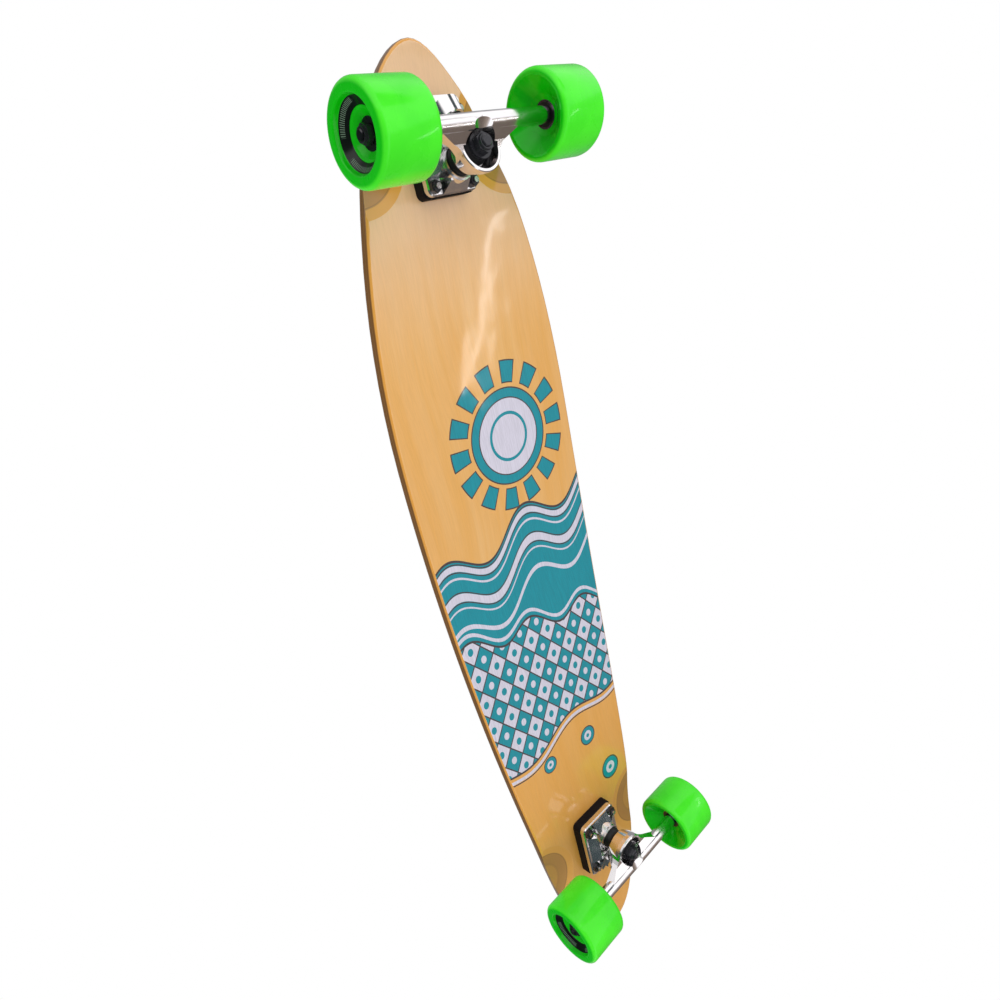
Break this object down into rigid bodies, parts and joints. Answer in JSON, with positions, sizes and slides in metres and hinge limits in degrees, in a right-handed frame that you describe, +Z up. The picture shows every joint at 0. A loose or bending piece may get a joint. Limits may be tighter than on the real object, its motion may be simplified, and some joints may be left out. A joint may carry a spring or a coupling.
{
  "type": "skateboard",
  "caption": "Pintail longboard skateboard: laminated maple deck, two steering trucks with sprung hangers and four ball-bearing urethane wheels.",
  "frame": {"origin": "on the ground below the middle of the deck's length", "axes": "+X to the nose, +Y to the left side, +Z up"},
  "size_m": [1.002, 0.227, 0.1203],
  "materials": {
    "maple": "gloss varnish",
    "grip": "coarse grit",
    "black_plastic": "satin",
    "cast_metal": "polished",
    "black_urethane": "satin",
    "black_steel": "black zinc",
    "steel": "bright",
    "bearing_steel": "polished",
    "green_urethane": "gloss",
    "green_core": "gloss",
    "black_shield": "satin"
  },
  "bodies": {
    "board": {"deck": "maple", "grip_tape": "grip", "front_riser": "black_plastic", "front_baseplate": "cast_metal", "front_pivot_cup": "black_urethane", "front_kingpin": "black_steel", "front_kingpin_nut": "black_steel", "front_board_cup_washer": "steel", "front_road_cup_washer": "black_steel", "front_board_bushing": "black_urethane", "front_road_bushing": "black_urethane", "front_mounting_bolts": "steel", "front_mounting_nuts": "black_steel", "rear_riser": "black_plastic", "rear_baseplate": "cast_metal", "rear_pivot_cup": "black_urethane", "rear_kingpin": "black_steel", "rear_kingpin_nut": "black_steel", "rear_board_cup_washer": "steel", "rear_road_cup_washer": "black_steel", "rear_board_bushing": "black_urethane", "rear_road_bushing": "black_urethane", "rear_mounting_bolts": "steel", "rear_mounting_nuts": "black_steel"},
    "front_hanger_set": {"front_hanger": "cast_metal", "front_axle": "steel", "front_axle_nuts": "black_steel", "front_speed_rings": "steel", "front_inner_races": "bearing_steel", "front_bearing_spacers": "steel"},
    "rear_hanger_set": {"rear_hanger": "cast_metal", "rear_axle": "steel", "rear_axle_nuts": "black_steel", "rear_speed_rings": "steel", "rear_inner_races": "bearing_steel", "rear_bearing_spacers": "steel"},
    "front_left_wheel": {"front_left_tyre": "green_urethane", "front_left_core": "green_core", "front_left_outer_races": "bearing_steel", "front_left_shields": "black_shield", "front_left_balls": "bearing_steel"},
    "front_right_wheel": {"front_right_tyre": "green_urethane", "front_right_core": "green_core", "front_right_outer_races": "bearing_steel", "front_right_shields": "black_shield", "front_right_balls": "bearing_steel"},
    "rear_left_wheel": {"rear_left_tyre": "green_urethane", "rear_left_core": "green_core", "rear_left_outer_races": "bearing_steel", "rear_left_shields": "black_shield", "rear_left_balls": "bearing_steel"},
    "rear_right_wheel": {"rear_right_tyre": "green_urethane", "rear_right_core": "green_core", "rear_right_outer_races": "bearing_steel", "rear_right_shields": "black_shield", "rear_right_balls": "bearing_steel"}
  },
  "joints": [
    {"name": "front_steer", "type": "hinge", "parent": "board", "child": "front_hanger_set", "pos_m": [0.407, 0, 0.0505], "axis": [0.9135, 0, 0.4067], "range_deg": [-12, 12], "stiffness_Nm_per_rad": 40, "deforming": ["front_board_bushing", "front_road_bushing"]},
    {"name": "rear_steer", "type": "hinge", "parent": "board", "child": "rear_hanger_set", "pos_m": [-0.34, 0, 0.0505], "axis": [-0.9135, 0, 0.4067], "range_deg": [-12, 12], "stiffness_Nm_per_rad": 40, "deforming": ["rear_board_bushing", "rear_road_bushing"]},
    {"name": "front_left_spin", "type": "hinge", "parent": "front_hanger_set", "child": "front_left_wheel", "pos_m": [0.425, 0.088, 0.035], "axis": [0, 1, 0], "continuous": true},
    {"name": "front_right_spin", "type": "hinge", "parent": "front_hanger_set", "child": "front_right_wheel", "pos_m": [0.425, -0.088, 0.035], "axis": [0, 1, 0], "continuous": true},
    {"name": "rear_left_spin", "type": "hinge", "parent": "rear_hanger_set", "child": "rear_left_wheel", "pos_m": [-0.358, 0.088, 0.035], "axis": [0, 1, 0], "continuous": true},
    {"name": "rear_right_spin", "type": "hinge", "parent": "rear_hanger_set", "child": "rear_right_wheel", "pos_m": [-0.358, -0.088, 0.035], "axis": [0, 1, 0], "continuous": true}
  ]
}
